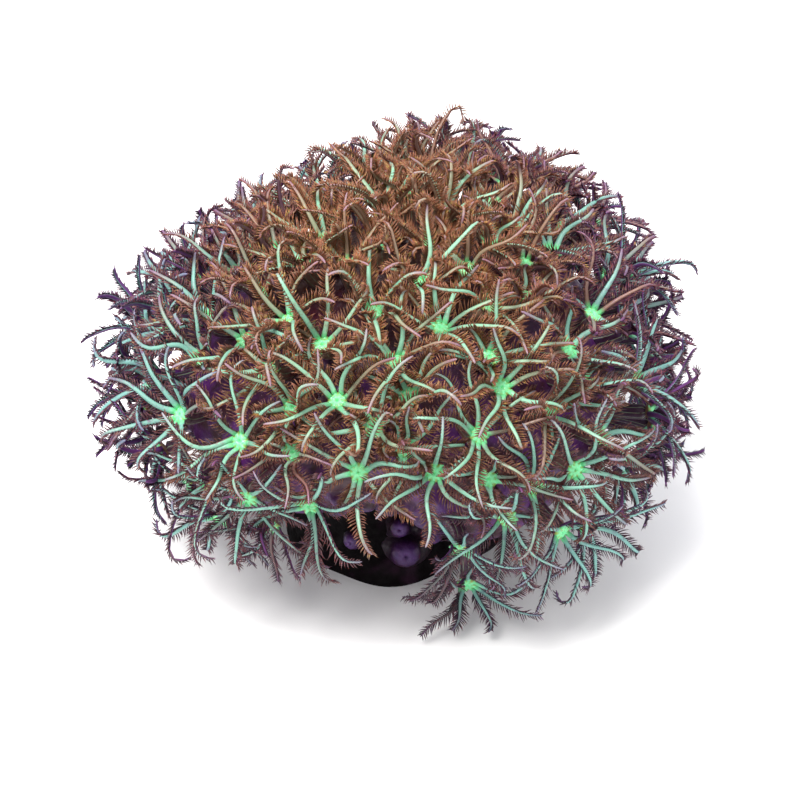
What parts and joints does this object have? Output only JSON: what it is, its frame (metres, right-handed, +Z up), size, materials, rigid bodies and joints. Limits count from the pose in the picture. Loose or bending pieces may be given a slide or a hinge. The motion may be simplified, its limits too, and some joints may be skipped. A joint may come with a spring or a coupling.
{
  "type": "green star polyp colony",
  "caption": "Dome-shaped soft coral colony: star-shaped eight-armed polyps on stalks, a rubbery mat, and a flat-cut rock foot to rest on.",
  "frame": {"origin": "middle of the flat cut under the rock, which the colony rests on", "axes": "+Z up, -Y the front that the picture shows, +X to the right in the picture"},
  "size_m": [0.0782, 0.0754, 0.0521],
  "materials": {
    "rock": "rough, damp, nearly black",
    "mat": "smooth, glossy, wet, purple",
    "polyp": "soft, satin, fluorescent green to brown"
  },
  "bodies": {
    "root": {"rock": "rock", "mat": "mat", "polyp_01": "polyp", "polyp_02": "polyp", "polyp_03": "polyp", "polyp_04": "polyp", "polyp_05": "polyp", "polyp_06": "polyp", "polyp_07": "polyp", "polyp_08": "polyp", "polyp_09": "polyp", "polyp_10": "polyp", "polyp_11": "polyp", "polyp_12": "polyp", "polyp_13": "polyp", "polyp_14": "polyp", "polyp_15": "polyp", "polyp_16": "polyp", "polyp_17": "polyp", "polyp_18": "polyp", "polyp_19": "polyp", "polyp_20": "polyp", "polyp_21": "polyp", "polyp_22": "polyp", "polyp_23": "polyp", "polyp_24": "polyp", "polyp_25": "polyp", "polyp_26": "polyp", "polyp_27": "polyp", "polyp_28": "polyp", "polyp_29": "polyp", "polyp_30": "polyp", "polyp_31": "polyp", "polyp_32": "polyp", "polyp_33": "polyp", "polyp_34": "polyp", "polyp_35": "polyp", "polyp_36": "polyp", "polyp_37": "polyp", "polyp_38": "polyp", "polyp_39": "polyp", "polyp_40": "polyp", "polyp_41": "polyp", "polyp_42": "polyp", "polyp_43": "polyp", "polyp_44": "polyp", "polyp_45": "polyp", "polyp_46": "polyp", "polyp_47": "polyp", "polyp_48": "polyp", "polyp_49": "polyp", "polyp_50": "polyp", "polyp_51": "polyp", "polyp_52": "polyp", "polyp_53": "polyp", "polyp_54": "polyp", "polyp_55": "polyp", "polyp_56": "polyp", "polyp_57": "polyp", "polyp_58": "polyp"}
  },
  "joints": []
}
